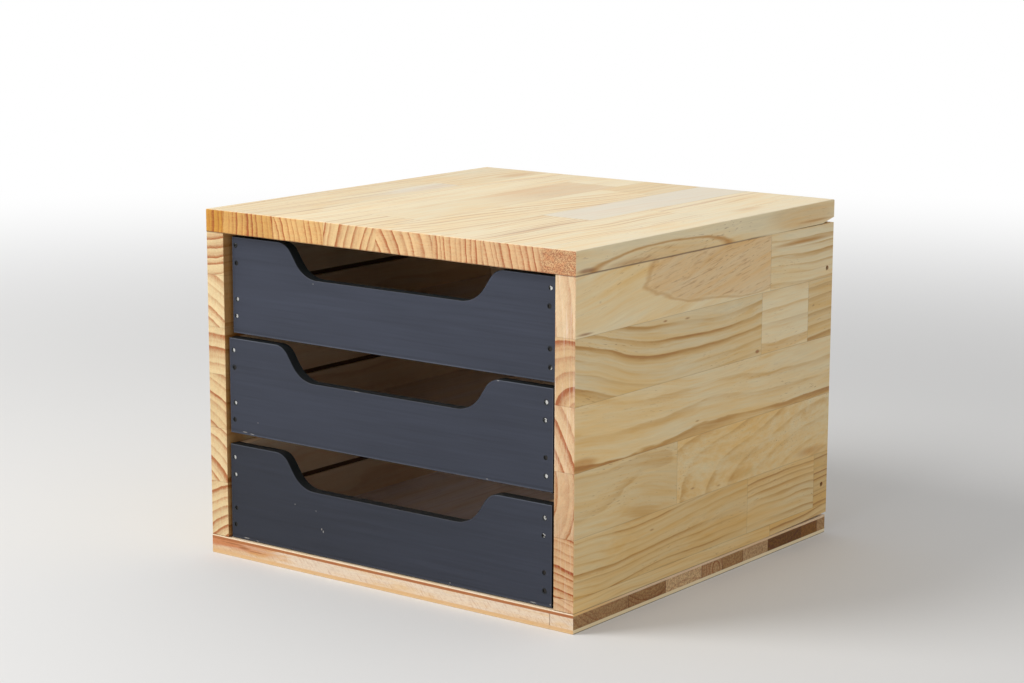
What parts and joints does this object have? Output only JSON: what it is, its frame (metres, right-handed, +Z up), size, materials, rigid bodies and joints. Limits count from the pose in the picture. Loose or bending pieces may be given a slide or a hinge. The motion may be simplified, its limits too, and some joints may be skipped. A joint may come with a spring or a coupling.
{
  "type": "paper tray",
  "caption": "Wooden desktop paper tray: a box of laminated pine, open at the front, with shallow drawers behind charcoal painted fronts with finger cut-outs.",
  "frame": {"origin": "centre of the carcass's footprint, on the surface it stands on", "axes": "+Z up, the drawers open towards -Y, +X to the right of someone facing the drawers"},
  "size_m": [0.36, 0.36, 0.28],
  "materials": {
    "laminated_pine": "oiled, satin",
    "blockboard": "sawn edges, raw",
    "charcoal_paint": "satin paint, brushed",
    "slat_pine": "planed, raw",
    "plywood": "sanded, raw",
    "beech": "planed, raw",
    "nail_steel": "bright wire",
    "screw_steel": "zinc plated"
  },
  "bodies": {
    "carcass": {"top_board": "laminated_pine", "bottom_board": "blockboard", "left_side": "laminated_pine", "right_side": "laminated_pine", "back_panel": "laminated_pine", "top_dowels": "beech", "bottom_screws": "screw_steel", "back_panel_nails": "nail_steel", "runner_left_bottom": "beech", "runner_left_middle": "beech", "runner_left_top": "beech", "runner_right_bottom": "beech", "runner_right_middle": "beech", "runner_right_top": "beech"},
    "bottom_drawer": {"bottom_drawer_front": "charcoal_paint", "bottom_drawer_left_lower_slat": "slat_pine", "bottom_drawer_left_upper_slat": "slat_pine", "bottom_drawer_right_lower_slat": "slat_pine", "bottom_drawer_right_upper_slat": "slat_pine", "bottom_drawer_back": "slat_pine", "bottom_drawer_bottom": "plywood", "bottom_drawer_front_nails": "nail_steel", "bottom_drawer_back_nails": "nail_steel", "bottom_drawer_bottom_pins": "nail_steel"},
    "middle_drawer": {"middle_drawer_front": "charcoal_paint", "middle_drawer_left_lower_slat": "slat_pine", "middle_drawer_left_upper_slat": "slat_pine", "middle_drawer_right_lower_slat": "slat_pine", "middle_drawer_right_upper_slat": "slat_pine", "middle_drawer_back": "slat_pine", "middle_drawer_bottom": "plywood", "middle_drawer_front_nails": "nail_steel", "middle_drawer_back_nails": "nail_steel", "middle_drawer_bottom_pins": "nail_steel"},
    "top_drawer": {"top_drawer_front": "charcoal_paint", "top_drawer_left_lower_slat": "slat_pine", "top_drawer_left_upper_slat": "slat_pine", "top_drawer_right_lower_slat": "slat_pine", "top_drawer_right_upper_slat": "slat_pine", "top_drawer_back": "slat_pine", "top_drawer_bottom": "plywood", "top_drawer_front_nails": "nail_steel", "top_drawer_back_nails": "nail_steel", "top_drawer_bottom_pins": "nail_steel"}
  },
  "joints": [
    {"name": "bottom_drawer_slide", "type": "slide", "parent": "carcass", "child": "bottom_drawer", "axis": [0, -1, 0], "range_m": [-0.0035, 0.27]},
    {"name": "middle_drawer_slide", "type": "slide", "parent": "carcass", "child": "middle_drawer", "axis": [0, -1, 0], "range_m": [-0.0035, 0.27]},
    {"name": "top_drawer_slide", "type": "slide", "parent": "carcass", "child": "top_drawer", "axis": [0, -1, 0], "range_m": [0, 0.27]}
  ]
}
